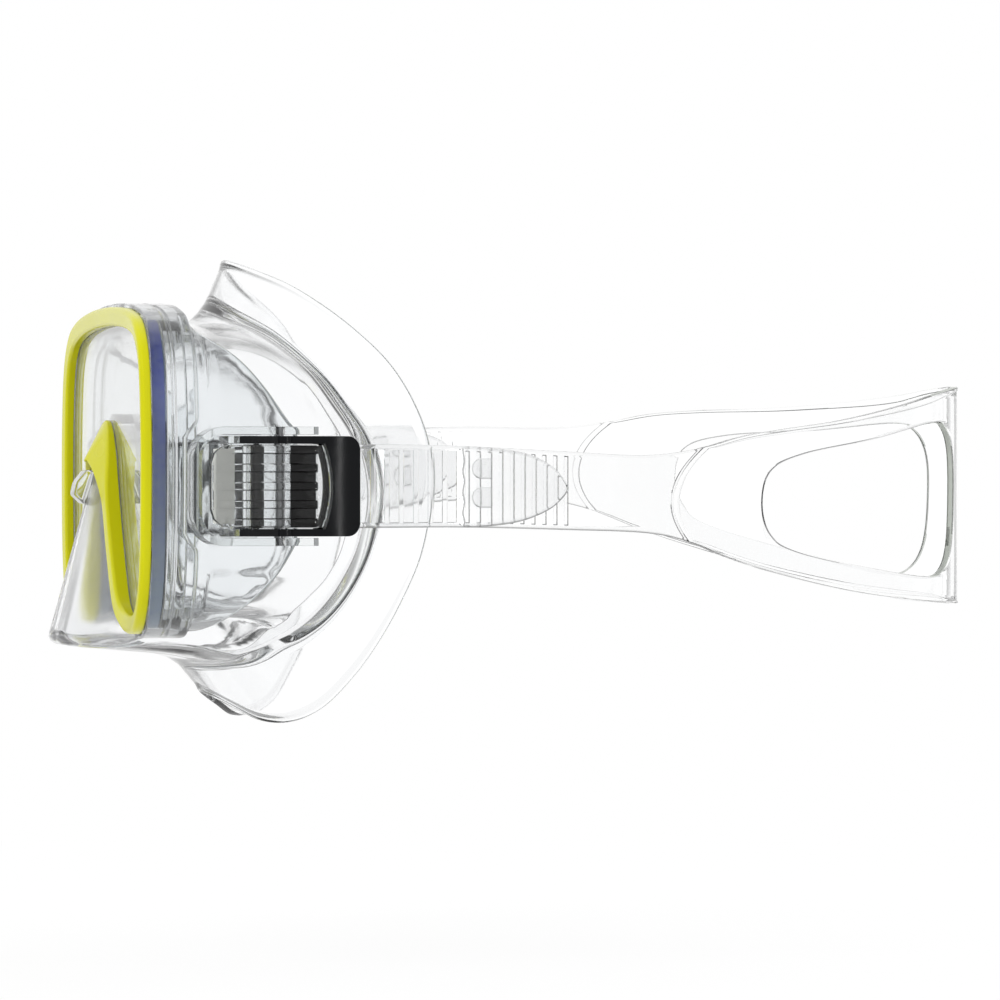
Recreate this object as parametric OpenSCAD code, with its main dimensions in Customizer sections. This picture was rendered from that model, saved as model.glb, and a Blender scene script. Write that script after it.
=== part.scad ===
// Snorkel mask: single-lens dive mask with a clear skirt, swivel buckles and a split head strap.
// X runs rearward, Y to the wearer's right, Z up; the origin is the centre of the face opening.

/* [Lens and frame] */
// from the front of the glass back to the centre of the face opening, mm
lens_to_seal = 45; // [35:1:55]
// thickness of the tempered glass, mm
lens_t = 4; // [3:0.5:5]
// front of the bezel ahead of the glass, mm
bezel_proud = 2.9; // [2:0.1:4]
// width of the bezel's face, mm
bezel_face = 5.4; // [4:0.1:8]
// how much deeper the bezel gets over the nose, mm
nose_arch_proud = 2.4; // [0:0.1:4]
// rear face of the clear frame ring behind the glass front, mm
frame_rear = 12; // [10:0.5:14]
// rear end of the frame's side wings, mm
wing_rear = 38.5; // [34:0.5:39]

/* [Skirt] */
// wall thickness of the silicone skirt, mm
skirt_t = 1.8; // [1.2:0.1:2.5]
// thickness of the sealing lips at their edges, mm
lip_t = 0.9; // [0.6:0.1:1.5]

/* [Buckle] */
// swivel pin behind the glass front, mm
pin_x = 32.4; // [30:0.1:34]
// swivel pin out from the middle of the mask, mm
pin_y = 81; // [80:0.1:83]
// height of the buckle's middle, mm
buckle_z = -4.2; // [-8:0.1:0]
// angle at which the strap leaves the buckle, degrees
strap_angle = 5; // [0:0.5:10]
// swivel pin radius, mm
pin_r = 1.25; // [1:0.05:1.5]
// strap roller radius, mm
roller_r = 1.7; // [1.5:0.1:2]
// number of grip ribs on a release button
rib_count = 5; // [3:1:6]
// width of a grip rib, mm
rib_w = 2.3; // [1.5:0.1:2.5]

/* [Head strap] */
// thickness of the silicone strap, mm
strap_t = 1.8; // [1.4:0.1:2]
// how much higher the right half of the soft strap hangs midway, mm
right_lift = 8.5; // [0:0.5:10]
// height of the cross ridges on the strap ends, mm
ridge_h = 0.45; // [0.3:0.05:0.5]

/* [Hidden] */
$fn = 48;

clear_plastic = [0.93, 0.96, 0.97, 0.35];
clear_silicone = [0.95, 0.97, 0.98, 0.4];
yellow = [0.84, 0.83, 0.02];
black = [0.04, 0.04, 0.05];
steel = [0.7, 0.71, 0.73];

layer_w = roller_r + 0.25 + strap_t / 2;
housing_half = 15.2;
housing_wall = 2;
yoke_half = 12.8;
arm_t = 1.9;
seat_y = 75.4;
button_w = 4.6;
button_top = 7.2;
trunnion_w = 5.9;
button_half = 10.5;
roller_v = -6;
hook_x = 0.5;
// how far the parts of the mask's rim lie out from the bezel outline
lens_edge = -1.4;
frame_out = 1;
frame_in = -4.5;
wing_out = -1;
wing_in = -4.2;
wing_front = 5.5;
wing_from = 53;
neck_in = -4.9;
arch_in = 1.5;
flange_wall = 2.2;
// where the skirt leaves the frame, round the lens and at the nose arch
neck_end = 13.2;
arch_end = 12.9;
arch_back = 14.7;

// bezel outline, half of it from the top middle round to the nose arch: [across, up]
outline_half = [[0, 43.5], [25, 43], [48, 41.2], [62.5, 37.5], [71.8, 28.5], [75.5, 12.5], [76, -5],
  [74.5, -22.5], [69.8, -34], [61, -41], [50, -42.5], [40, -41], [31.8, -35.5], [21.3, -21.5], [13.2, -8],
  [7.2, 3.2], [0, 8.6]];

// outer sealing lip's edge at the same stations: [back, across, up]
lip_half = [[31.3, 0, 56.5], [36.3, 24, 53], [44.8, 43.5, 47], [56.2, 57, 37], [65.8, 66, 25.5],
  [72.6, 71.5, 10], [74, 72.5, -5], [71.8, 70.5, -21], [67.4, 65, -34], [62.5, 58, -45], [57.3, 50.5, -54],
  [50.8, 42.5, -62], [43.8, 34.5, -66], [37.5, 25, -66], [32, 15, -63], [27, 7, -60], [25, 0, -58.7]];

// fold where the skirt wall turns into its lips
fold_half = [[26.5, 0, 45.3], [30, 22, 41.5], [38, 42, 34.5], [46.5, 55, 25], [52.5, 62, 16],
  [58, 67, 6], [60.4, 68, -6.5], [58.5, 66, -19.5], [54.5, 61.5, -30], [50, 56, -37.5], [45, 50, -43],
  [39.5, 43, -47], [33, 35, -49.8], [27, 25, -51], [22.5, 14, -51.3], [19.7, 6.5, -51.3], [18.8, 0, -51.2]];

// inner sealing lip's edge
inner_half = [[30.5, 0, 36.5], [31, 21, 35], [37.5, 38.5, 29.5], [44, 48.5, 22.5], [49, 54, 15],
  [53.5, 58, 6], [54.8, 59, -7], [53, 57.5, -19.5], [49.5, 53, -27.5], [45.5, 48, -32.5], [41.5, 43, -36.5],
  [37.5, 37.5, -41], [33, 31.5, -46], [28.5, 23, -47.5], [24.5, 13, -48], [22.3, 6, -48], [21.8, 0, -48]];

// nose pocket at the last stations: front edge, then underside
nose_from = 12;
nose_front = [[3, 29, -44.4], [-7, 18, -46.4], [-13.8, 11.6, -46.2], [-15.9, 5, -45.7], [-16.4, 0, -45.5]];
nose_under = [[15.5, 30.5, -46.8], [14.5, 18.5, -48.4], [14, 11, -48.6], [13.8, 5, -48.6], [13.8, 0, -48.6]];
// how far each station belongs to the nose, and where its wall turns forward
nose_share = [0, 0, 0, 0, 0, 0, 0, 0, 0, 0, 0, 0.3, 0.9, 1, 1, 1, 1];
nose_turn = [15, 15, 15, 15, 15, 15, 15, 15, 15, 15, 15, 15, 13.5, 2.5, -0.8, -1.7, -2];

// strap's line seen from above, from the buckle back past the middle of the rear bridge
main_line = [[90, 74.2], [130, 64.8], [170, 49.8], [205, 31], [222.3, 18.8], [230.4, 9], [232.7, 0],
  [230.4, -9]];
strap_top = [[10, 6.4], [53, 6.6], [81, 6.2], [110, 4.9], [132, 4], [147, 5.7], [160, 9], [173, 11.1],
  [191, 13.6], [210, 17.6], [228, 22.4], [238, 24]];
strap_low = [[238, -36.4], [228, -35.6], [210, -34.1], [191, -31.4], [169, -26.6], [156, -22.8], [144, -18.5],
  [132, -16.3], [110, -15.5], [81, -14.8], [53, -14.9], [10, -15]];
strap_window = [[166.7, -9], [169.3, 0], [180, 4.6], [202, 8.6], [221, 13], [226, 11.6], [228.8, 5],
  [229.2, -7], [228.2, -19.5], [225, -26.4], [218.5, -28.2], [198, -25.4], [178, -21.5], [169.5, -17.2]];
// where the right half starts to hang higher, and over what length
lift_from = 56;
lift_run = 168;
// ridges on the band: lowest point and height
ridge_low = -14;
ridge_span = 18;

function unit(v) = v / norm(v);
function mix(a, b, t) = a + (b - a) * t;
function flip2(p) = [-p[0], p[1]];
function flip3(p) = [p[0], -p[1], p[2]];
function back_again(h) = [for (i = [len(h) - 2 : -1 : 1]) h[i]];
function both_sides2(h) = concat(h, [for (p = back_again(h)) flip2(p)]);
function both_sides3(h) = concat(h, [for (p = back_again(h)) flip3(p)]);
function both_values(h) = concat(h, back_again(h));
function spline(a, b, c, d, t) =
  0.5 * (2 * b + (c - a) * t + (2 * a - 5 * b + 4 * c - d) * t * t + (3 * b - a - 3 * c + d) * t * t * t);
function at(p, i) = p[(i + len(p)) % len(p)];
function ring(p, n) = [for (i = [0 : len(p) - 1], k = [0 : n - 1])
  spline(at(p, i - 1), p[i], at(p, i + 1), at(p, i + 2), k / n)];
function held(p, i) = p[min(max(i, 0), len(p) - 1)];
function run(p, n) = concat([for (i = [0 : len(p) - 2], k = [0 : n - 1])
  spline(held(p, i - 1), p[i], p[i + 1], held(p, i + 2), k / n)], [p[len(p) - 1]]);
function perp(d) = unit([-d[1], d[0]]);
function grown(p, g) = [for (i = [0 : len(p) - 1]) p[i] + g * perp(at(p, i + 1) - at(p, i - 1))];

outline = ring(both_sides2(outline_half), 4);
stations = ring(both_sides2(outline_half), 3);
share = ring(both_values(nose_share), 3);
turn = ring(both_values(nose_turn), 3);

module placed() {
  translate([-lens_to_seal, 0, 0]) children();
}

module plate(x0, x1) {
  translate([x0, 0, 0]) rotate([90, 0, 90]) linear_extrude(x1 - x0) children();
}

module side(y0, y1) {
  translate([0, y1, 0]) rotate([90, 0, 0]) linear_extrude(y1 - y0) children();
}

module lens_shape(g) {
  polygon(grown(outline, g));
}

// closed skin from rings of points that share their count
function loop_faces(count, around) = [for (i = [0 : count - 1], j = [0 : around - 1], h = [0, 1])
  let (a = i * around + j, b = i * around + (j + 1) % around,
    c = (i + 1) % count * around + (j + 1) % around, d = (i + 1) % count * around + j)
  h == 0 ? [a, b, c] : [a, c, d]];

module loop_skin(rings) {
  polyhedron([for (r = rings) each r], loop_faces(len(rings), len(rings[0])));
}

// glass and bezel

module lens() {
  color(clear_plastic) placed() plate(hook_x, hook_x + lens_t) lens_shape(lens_edge);
}

function bezel_section(deep) = [[0, hook_x - 0.1], [0, -bezel_proud + 1.3 - deep],
  [-0.8, -bezel_proud + 0.3 - deep], [-2.4, -bezel_proud - deep],
  [-bezel_face + 1.2, -bezel_proud + 0.5 - deep],
  [-bezel_face, -bezel_proud + 2 - deep * 0.6], [-bezel_face, hook_x - 0.1]];

module lens_bezel() {
  edge = [for (i = [0 : len(outline) - 1]) perp(at(outline, i + 1) - at(outline, i - 1))];
  deep = [for (v = ring(both_values(nose_share), 4)) nose_arch_proud * v];
  color(yellow) placed() loop_skin([for (i = [0 : len(outline) - 1])
    [for (s = bezel_section(deep[i])) let (q = outline[i] + s[0] * edge[i]) [s[1], q[0], q[1]]]]);
}

// clip on the ridge of the nose pocket, its back just clear of the silicone
module nose_clip() {
  color(clear_plastic) placed()
    side(-4, 4) polygon([[-3.75, 1.2], [-6.4, 1.6], [-8.6, -1.5], [-9.9, -6.2], [-6.5, -8.2]]);
}

// clear frame: ring, side wings and buckle seats

wing_top = [[frame_rear - 0.3, 37], [15, 34.8], [23.2, 29.2], [30, 21.6], [36, 12.8], [wing_rear, 10]];
wing_low = [[wing_rear, -18.6], [34, -26.6], [28.3, -33.2], [22, -38.2], [17, -41], [frame_rear - 0.3, -42.6]];

module wing_profile() {
  polygon(concat([[wing_front, 37.6]], run(wing_top, 3), run(wing_low, 3), [[wing_front, -42.8]]));
}

module wings() {
  intersection() {
    plate(wing_front, wing_rear) difference() {
      lens_shape(wing_out);
      lens_shape(wing_in);
    }
    side(-90, 90) wing_profile();
    union() {
      translate([0, -wing_from - 50, -60]) cube([60, 50, 120]);
      translate([0, wing_from, -60]) cube([60, 50, 120]);
    }
  }
}

module buckle_seat() {
  translate([13, -seat_y, buckle_z - 12.5]) cube([23, 2.2, 25]);
}

module post_holes() {
  for (z = [-8, 8]) {
    translate([18, -60, buckle_z + z]) rotate([90, 0, 0]) cylinder(h = 30, r = 1.85);
  }
}

module housing_notch() {
  translate([pin_x, 0, buckle_z]) side(-pin_y - 9, -seat_y) round_front(-23.3, 20, housing_half + 0.4, 8.4);
}

module frame() {
  color(clear_plastic) placed() difference() {
    union() {
      plate(hook_x, frame_rear) difference() {
        lens_shape(frame_out);
        lens_shape(frame_in);
      }
      wings();
      buckle_seat();
      mirror([0, 1, 0]) buckle_seat();
    }
    plate(hook_x - 1, frame_rear - flange_wall) lens_shape(lens_edge + 0.4);
    for (m = [0, 1]) {
      mirror([0, m, 0]) post_holes();
      mirror([0, m, 0]) housing_notch();
    }
  }
}

// skirt: one silicone moulding with nose pocket and two sealing lips

function on_edge(g, x) = [for (i = [0 : len(stations) - 1])
  let (q = stations[i] + g[i] * perp(at(stations, i + 1) - at(stations, i - 1))) [x[i], q[0], q[1]]];
function level(v) = [for (s = stations) v];
function blend(a, b) = [for (s = share) mix(a, b, s)];
function inside(before, here, after, t) = [for (i = [0 : len(here) - 1])
  here[i] + t * unit(cross(at(here, i + 1) - at(here, i - 1), after[i] - before[i]))];
function between(p, a, b, t) = [for (i = [0 : len(p) - 1])
  p[i] + t * unit(unit(a[i] - p[i]) + unit(b[i] - p[i]))];

module skirt() {
  lip = ring(both_sides3(lip_half), 3);
  fold = ring(both_sides3(fold_half), 3);
  seal = ring(both_sides3(inner_half), 3);
  flange_front = hook_x + lens_t + 0.1;
  flange_back = frame_rear - flange_wall - 0.2;
  neck = on_edge(level(neck_in), level(frame_rear + 0.3));
  leave = on_edge(blend(neck_in, arch_in), blend(neck_end, arch_end));
  forward = on_edge(blend(neck_in, arch_in), turn);
  inner_neck = level(neck_in - skirt_t);
  inner_leave = blend(neck_in - skirt_t, arch_in + skirt_t);
  wall_half = [for (i = [0 : len(outline_half) - 1]) let (o = outline_half[i])
    i < nose_from ? [16.5, o[0] - 5.4 * sign(o[0]), o[1] - 4.6 * sign(o[1]) * (abs(o[1]) > 26 ? 1 : 0)]
    : nose_front[i - nose_from]];
  under_half = [for (i = [0 : len(outline_half) - 1]) let (a = wall_half[i], f = fold_half[i])
    i < nose_from ? [mix(a[0], f[0], 0.6), mix(a[1], f[1], 0.3), mix(a[2], f[2], 0.18)]
    : nose_under[i - nose_from]];
  front = ring(both_sides3(wall_half), 3);
  under = ring(both_sides3(under_half), 3);
  seal_side = mix(seal, inside(fold, seal, mix(fold, seal, 2), 1), lip_t / 2);
  seal_face = mix(seal, inside(fold, seal, mix(fold, seal, 2), 1), -lip_t / 2);
  rails = [on_edge(level(lens_edge), level(flange_front)), on_edge(level(lens_edge), level(flange_back)),
    on_edge(level(neck_in), level(flange_back)), neck, leave, forward, front, under, fold, lip,
    inside(fold, lip, mix(fold, lip, 2), lip_t), between(fold, lip, seal, 1.5), seal_face, seal_side,
    between(fold, seal, under, skirt_t), inside(front, under, fold, skirt_t),
    inside(forward, front, under, skirt_t), on_edge(inner_leave, turn),
    on_edge(inner_leave, blend(neck_end, arch_back)),
    on_edge(inner_neck, blend(frame_rear, arch_back)), on_edge(inner_neck, level(flange_front))];
  last = len(rails) - 1;
  color(clear_silicone) placed()
    loop_skin([for (i = [0 : len(stations) - 1]) [for (k = [last : -1 : 0]) rails[k][i]]]);
}

// head strap: plan ribbon cut to its side outline, with folded-back ends

function buckle_point(v, w) = [pin_x + v * cos(strap_angle) + w * sin(strap_angle),
  pin_y - v * sin(strap_angle) + w * cos(strap_angle)];
main_path = run(concat([buckle_point(roller_v, -layer_w), buckle_point(2, -layer_w), buckle_point(10, -layer_w),
  buckle_point(16, -2.2), buckle_point(23, -1.3)], main_line), 6);
tail_path = run(concat([[111, 71.9], [100, 74.4], [88, 76.9], [72, 79.2]],
  [buckle_point(23, 1.2), buckle_point(16, 2.1), buckle_point(10, layer_w), buckle_point(2, layer_w),
  buckle_point(roller_v, layer_w)]), 6);
wrap_path = [for (k = [1 : 9]) buckle_point(roller_v - layer_w * sin(18 * k), layer_w * cos(18 * k))];

function way(p, i) = held(p, i + 1) - held(p, i - 1);
function ribbon(p, t) = concat([for (i = [0 : len(p) - 1]) p[i] + t * perp(way(p, i))],
  [for (i = [len(p) - 1 : -1 : 0]) p[i] - t * perp(way(p, i))]);
function lift_at(x) = sin(180 * pow(min(max((x - lift_from) / lift_run, 0), 1), 0.85));
function lifted(p, lift) = [for (q = p) [q[0], q[1] + lift * lift_at(q[0])]];

module strap_side(lift) {
  difference() {
    polygon(lifted(concat(run(strap_top, 3), run(strap_low, 3)), lift));
    polygon(lifted(ring(strap_window, 4), lift));
  }
}

module tail_tip(lift) {
  polygon(lifted([[70, 20], [70, 6.3], [86, 6], [98, 4.4], [105.5, 1], [109, -3], [109.6, -4.6], [109, -6.4],
    [105, -10], [97, -13.2], [86, -14.7], [70, -15], [70, -30], [120, -30], [120, 20]], lift));
}

module ridge_row(p, from, to, step, lift) {
  for (x = [from : step : to]) {
    i = min([for (k = [0 : len(p) - 2]) if ((p[k][0] - x) * (p[k + 1][0] - x) <= 0) k]);
    t = (x - p[i][0]) / (p[i + 1][0] - p[i][0]);
    q = mix(p[i], p[i + 1], t);
    d = p[i + 1] - p[i];
    translate([q[0], q[1], ridge_low + lift * lift_at(q[0])]) rotate(atan2(d[1], d[0]))
      translate([-0.55, -strap_t / 2 - ridge_h, 0]) cube([1.1, ridge_h + 0.2, ridge_span]);
  }
}

module strap_half(lift) {
  trim_path = concat([[116, 70.7]], [for (q = tail_path) if (q[0] > 66) q]);
  difference() {
    intersection() {
      linear_extrude(80, center = true) polygon(ribbon(concat(tail_path, wrap_path, main_path), strap_t / 2));
      side(0, 100) strap_side(lift);
    }
    intersection() {
      linear_extrude(80, center = true) polygon(ribbon(trim_path, strap_t / 2 + 0.2));
      side(0, 100) tail_tip(lift);
    }
  }
  ridge_row(tail_path, 56, 79, 3.8, lift);
  ridge_row(main_path, 82, 110, 3.1, lift);
}

module head_strap() {
  color(clear_silicone) placed() {
    mirror([0, 1, 0]) strap_half(0);
    strap_half(right_lift);
  }
}

// buckle, drawn for the left side with v along the strap, w outward and z up from the swivel pin

module left_side() {
  placed() translate([pin_x, -pin_y, buckle_z]) children();
}

module right_side() {
  placed() mirror([0, 1, 0]) translate([pin_x, -pin_y, buckle_z]) children();
}

module along_strap() {
  rotate(strap_angle) mirror([0, 1, 0]) children();
}

module round_front(x0, x1, half, r) {
  translate([x0 + r, -half]) square([x1 - x0 - r, 2 * half]);
  translate([x0, r - half]) square([r + 1, 2 * (half - r)]);
  for (z = [r - half, half - r]) {
    translate([x0 + r, z]) circle(r);
  }
}

module buckle_housing() {
  inner = seat_y - pin_y;
  color(clear_plastic) mirror([0, 1, 0]) difference() {
    union() {
      side(inner, 5.4) round_front(-22.9, 9.4, housing_half, 8);
      for (z = [-8, 8]) {
        translate([18 - pin_x, inner + 1, z]) rotate([90, 0, 0]) cylinder(h = 3.1, r = 1.8);
      }
    }
    side(inner + 1, 9) round_front(-20.6, 12, housing_half - housing_wall, 6);
    translate([-5, inner - 1, -housing_half + housing_wall]) cube([20, 4, 2 * (housing_half - housing_wall)]);
    cylinder(h = 60, r = pin_r + 0.02, center = true);
  }
}

module swivel_pin() {
  color(steel) cylinder(h = 2 * housing_half, r = pin_r, center = true);
}

module yoke_arm() {
  translate([0, 0, yoke_half - arm_t]) difference() {
    linear_extrude(arm_t) {
      translate([-15, -2.6]) square([26, 9.2]);
      translate([0, trunnion_w]) circle(2);
    }
    translate([0, 0, -1]) cylinder(h = 4, r = pin_r + 0.05);
    translate([0, trunnion_w, -1]) cylinder(h = 4, r = 1.05);
    translate([roller_v, 0, -1]) cylinder(h = 4, r = 0.8);
  }
}

module collar_face() {
  difference() {
    union() {
      translate([8.2, -yoke_half]) square([8, 2 * yoke_half]);
      translate([8.2, -yoke_half + 3.5]) square([11.8, 2 * (yoke_half - 3.5)]);
      for (z = [3.5 - yoke_half, yoke_half - 3.5]) {
        translate([16.5, z]) circle(3.5);
      }
    }
    translate([-17, 0]) circle(29.6);
  }
}

module yoke() {
  color(black) along_strap() {
    yoke_arm();
    mirror([0, 0, 1]) yoke_arm();
    translate([-15, -1.3, -yoke_half]) cube([2.4, 2.6, 2 * yoke_half]);
    difference() {
      side(-5.6, 5.8) collar_face();
      translate([0, -4.6, -11.2]) cube([30, 9.2, 22.4]);
    }
  }
}

module roller_axle() {
  color(steel) along_strap() translate([roller_v, 0, 0]) cylinder(h = 2 * yoke_half, r = 0.78, center = true);
}

module strap_roller() {
  color(black) along_strap() translate([roller_v, 0, 0]) difference() {
    cylinder(h = 21.2, r = roller_r, center = true);
    cylinder(h = 30, r = 0.83, center = true);
  }
}

module button_face() {
  intersection() {
    round_front(-19.4, 14, button_half, 5);
    translate([-17, 0]) circle(29.1);
  }
}

module release_button() {
  pitch = 2 * (button_half - 1.2) / (rib_count - 1);
  color(clear_plastic) along_strap() {
    side(button_w, button_top - 0.7) button_face();
    translate([0, trunnion_w, 0]) cylinder(h = 2 * (yoke_half - 0.1), r = 1, center = true);
    for (k = [0 : rib_count - 1]) {
      z = -button_half + 1.2 + k * pitch;
      reach = -18 + 0.035 * z * z;
      translate([reach, button_w + 1, z - rib_w / 2]) cube([8.6 - reach, button_top - button_w - 1, rib_w]);
    }
  }
}

module pawl() {
  color(black) along_strap() linear_extrude(20, center = true) polygon([[1.6, button_w], [8.4, button_w],
    [8.2, 4.3], [7.2, 4.05], [6.8, 4.3], [5.2, 4.05], [4.8, 4.3], [3.2, 4.05], [2.8, 4.3], [1.8, 4.3]]);
}

module button_spring() {
  color(steel) along_strap() linear_extrude(19, center = true) polygon([[-15, 1.35], [-12.8, 1.35], [-12.8, 1.7],
    [-14.6, 1.75], [-17.4, 3.1], [-17.2, 4.2], [-13, 4.2], [-13, 4.55], [-17.6, 4.55], [-18, 3], [-15.4, 1.7]]);
}

module left_buckle_housing() {
  left_side() buckle_housing();
}

module left_swivel_pin() {
  left_side() swivel_pin();
}

module left_yoke() {
  left_side() yoke();
}

module left_roller_axle() {
  left_side() roller_axle();
}

module left_strap_roller() {
  left_side() strap_roller();
}

module left_release_button() {
  left_side() release_button();
}

module left_pawl() {
  left_side() pawl();
}

module left_button_spring() {
  left_side() button_spring();
}

module right_buckle_housing() {
  right_side() buckle_housing();
}

module right_swivel_pin() {
  right_side() swivel_pin();
}

module right_yoke() {
  right_side() yoke();
}

module right_roller_axle() {
  right_side() roller_axle();
}

module right_strap_roller() {
  right_side() strap_roller();
}

module right_release_button() {
  right_side() release_button();
}

module right_pawl() {
  right_side() pawl();
}

module right_button_spring() {
  right_side() button_spring();
}

frame();
lens_bezel();
lens();
nose_clip();
skirt();
head_strap();
left_buckle_housing();
left_swivel_pin();
left_yoke();
left_roller_axle();
left_strap_roller();
left_release_button();
left_pawl();
left_button_spring();
right_buckle_housing();
right_swivel_pin();
right_yoke();
right_roller_axle();
right_strap_roller();
right_release_button();
right_pawl();
right_button_spring();
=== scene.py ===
import bisect
import math

import bmesh
import bpy
from mathutils import Matrix, Vector
from mathutils.kdtree import KDTree


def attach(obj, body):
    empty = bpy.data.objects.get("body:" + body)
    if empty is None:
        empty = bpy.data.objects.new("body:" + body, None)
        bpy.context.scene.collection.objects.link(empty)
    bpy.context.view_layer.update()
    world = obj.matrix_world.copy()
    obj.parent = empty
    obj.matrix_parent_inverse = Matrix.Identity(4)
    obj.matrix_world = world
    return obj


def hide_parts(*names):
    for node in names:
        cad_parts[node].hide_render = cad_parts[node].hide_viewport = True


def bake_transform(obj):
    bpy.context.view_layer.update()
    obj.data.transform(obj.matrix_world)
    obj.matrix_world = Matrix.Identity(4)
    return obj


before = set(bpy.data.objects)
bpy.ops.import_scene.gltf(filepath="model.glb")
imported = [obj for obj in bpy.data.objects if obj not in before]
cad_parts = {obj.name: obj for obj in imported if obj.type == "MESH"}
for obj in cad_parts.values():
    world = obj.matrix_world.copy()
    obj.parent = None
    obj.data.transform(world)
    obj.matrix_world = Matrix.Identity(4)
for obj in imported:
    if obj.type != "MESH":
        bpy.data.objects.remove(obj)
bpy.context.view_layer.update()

# Camera and studio: a white sweep, two soft lamps, a narrow strip lamp, and a ring of bright panels with
# dark gaps out of view, which draw the grey edge lines in clear plastic. The camera stands at the
# wearer's left, a little ahead.
scene = bpy.context.scene
scene.view_settings.view_transform = "Standard"
scene.cycles.max_bounces = 64
scene.cycles.transmission_bounces = 64
scene.cycles.glossy_bounces = 8
scene.cycles.transparent_max_bounces = 24
camera_data = bpy.data.cameras.new("camera")
camera_data.lens = 236.25
camera_data.sensor_width = 36
camera_data.clip_start, camera_data.clip_end = 0.05, 50
camera = bpy.data.objects.new("camera", camera_data)
camera.location = (-0.2928, -1.7359, -0.0077)
camera.rotation_euler = (math.radians(90), 0, math.radians(-11.54))
scene.collection.objects.link(camera)
scene.camera = camera


def add_node(tree, kind, **values):
    node = tree.nodes.new(kind)
    for name, value in values.items():
        if hasattr(node, name):
            setattr(node, name, value)
        else:
            node.inputs[name].default_value = value
    return node


def falloff(tree, socket, start, end, low):
    ranged = add_node(tree, "ShaderNodeMapRange", interpolation_type="SMOOTHSTEP")
    ranged.inputs["From Min"].default_value = start
    ranged.inputs["From Max"].default_value = end
    ranged.inputs["To Min"].default_value = 1
    ranged.inputs["To Max"].default_value = low
    tree.links.new(socket, ranged.inputs["Value"])
    return ranged.outputs["Result"]


def math_node(tree, operation, a, b=None):
    node = add_node(tree, "ShaderNodeMath", operation=operation)
    for socket, value in zip(node.inputs, (a, b)):
        if isinstance(value, (int, float)):
            socket.default_value = value
        elif value is not None:
            tree.links.new(value, socket)
    return node.outputs["Value"]


PANEL_COUNT, PANEL_MIDDLE = 8, 1.369
world = bpy.data.worlds.new("studio")
scene.world = world
world.use_nodes = True
sky = world.node_tree
sky.nodes.clear()
direction = add_node(sky, "ShaderNodeSeparateXYZ")
sky.links.new(add_node(sky, "ShaderNodeTexCoord").outputs["Generated"], direction.inputs["Vector"])
azimuth = math_node(sky, "ARCTAN2", direction.outputs["Y"], direction.outputs["X"])
turn = math_node(sky, "SUBTRACT", azimuth, PANEL_MIDDLE)
panels = math_node(sky, "COSINE", math_node(sky, "MULTIPLY", turn, PANEL_COUNT))
seen_through = falloff(sky, direction.outputs["Z"], 0.15, 0.6, 0.4)
for socket, start, end, low in ((direction.outputs["Z"], -0.15, -0.55, 0.3), (panels, -0.3, -0.9, 0.4)):
    seen_through = math_node(sky, "MULTIPLY", seen_through, falloff(sky, socket, start, end, low))
seen_through = math_node(sky, "MULTIPLY", seen_through, 1.08)
mirrored = falloff(sky, direction.outputs["Y"], 0.5, -0.4, 0.3)
path = add_node(sky, "ShaderNodeLightPath")


def choose(tree, test, yes, no):
    mix = add_node(tree, "ShaderNodeMix", data_type="FLOAT")
    tree.links.new(test, mix.inputs["Factor"])
    for socket, value in ((mix.inputs["A"], no), (mix.inputs["B"], yes)):
        if isinstance(value, (int, float)):
            socket.default_value = value
        else:
            tree.links.new(value, socket)
    return mix.outputs["Result"]


turned_back = math_node(sky, "GREATER_THAN", path.outputs["Glossy Depth"], 0.5)
behind_camera = choose(sky, turned_back, falloff(sky, direction.outputs["Y"], 0.1, -0.4, 0.3), 1.0)
seen_through = math_node(sky, "MULTIPLY", seen_through, behind_camera)
level = choose(sky, path.outputs["Is Glossy Ray"], mirrored, 1.0)
level = choose(sky, path.outputs["Is Transmission Ray"], seen_through, level)
level = choose(sky, path.outputs["Is Camera Ray"], 1.0, level)
background = add_node(sky, "ShaderNodeBackground", Color=(1, 1, 1, 1))
sky.links.new(level, background.inputs["Strength"])
sky.links.new(background.outputs["Background"], add_node(sky, "ShaderNodeOutputWorld").inputs["Surface"])

for name, place, wide, high, power in (
    ("key_light", (-0.9, -0.8, 1.1), 0.7, 0.7, 5),
    ("rear_light", (0.9, 0.6, 0.9), 0.6, 0.6, 2),
    ("strip_light", (0.66, -1.3, 0.1), 0.06, 0.5, 1.1),
):
    lamp = bpy.data.lights.new(name, "AREA")
    lamp.shape = "RECTANGLE"
    lamp.size, lamp.size_y = wide, high
    lamp.energy = power
    light = bpy.data.objects.new(name, lamp)
    light.location = place
    light.rotation_euler = (Vector((0, 0, 0)) - Vector(place)).to_track_quat("-Z", "Y").to_euler()
    light.visible_transmission = False
    light.visible_glossy = name == "strip_light"
    scene.collection.objects.link(light)

floor_mesh = bpy.data.meshes.new("floor")
floor_form = bmesh.new()
bmesh.ops.create_grid(floor_form, x_segments=1, y_segments=1, size=0.9)
bmesh.ops.translate(floor_form, verts=floor_form.verts, vec=(0.06, 0, -0.13))
floor_form.to_mesh(floor_mesh)
floor = bpy.data.objects.new("floor", floor_mesh)
floor.visible_glossy = False
scene.collection.objects.link(floor)
floor_paint = bpy.data.materials.new("floor_paint")
floor_paint.use_nodes = True
tree = floor_paint.node_tree
tree.nodes.clear()
matt = add_node(tree, "ShaderNodeBsdfDiffuse", Color=(0.9, 0.9, 0.9, 1))
glow = add_node(tree, "ShaderNodeEmission", Color=(1, 1, 1, 1))
coordinates = add_node(tree, "ShaderNodeTexCoord")
away = add_node(tree, "ShaderNodeVectorMath", operation="LENGTH")
tree.links.new(coordinates.outputs["Object"], away.inputs[0])
clean = math_node(tree, "SUBTRACT", 1.0, falloff(tree, away.outputs["Value"], 0.15, 0.6, 0.0))
clean = math_node(tree, "MULTIPLY_ADD", clean, 0.12)
clean.node.inputs[2].default_value = 0.88
rays = add_node(tree, "ShaderNodeLightPath")
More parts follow.
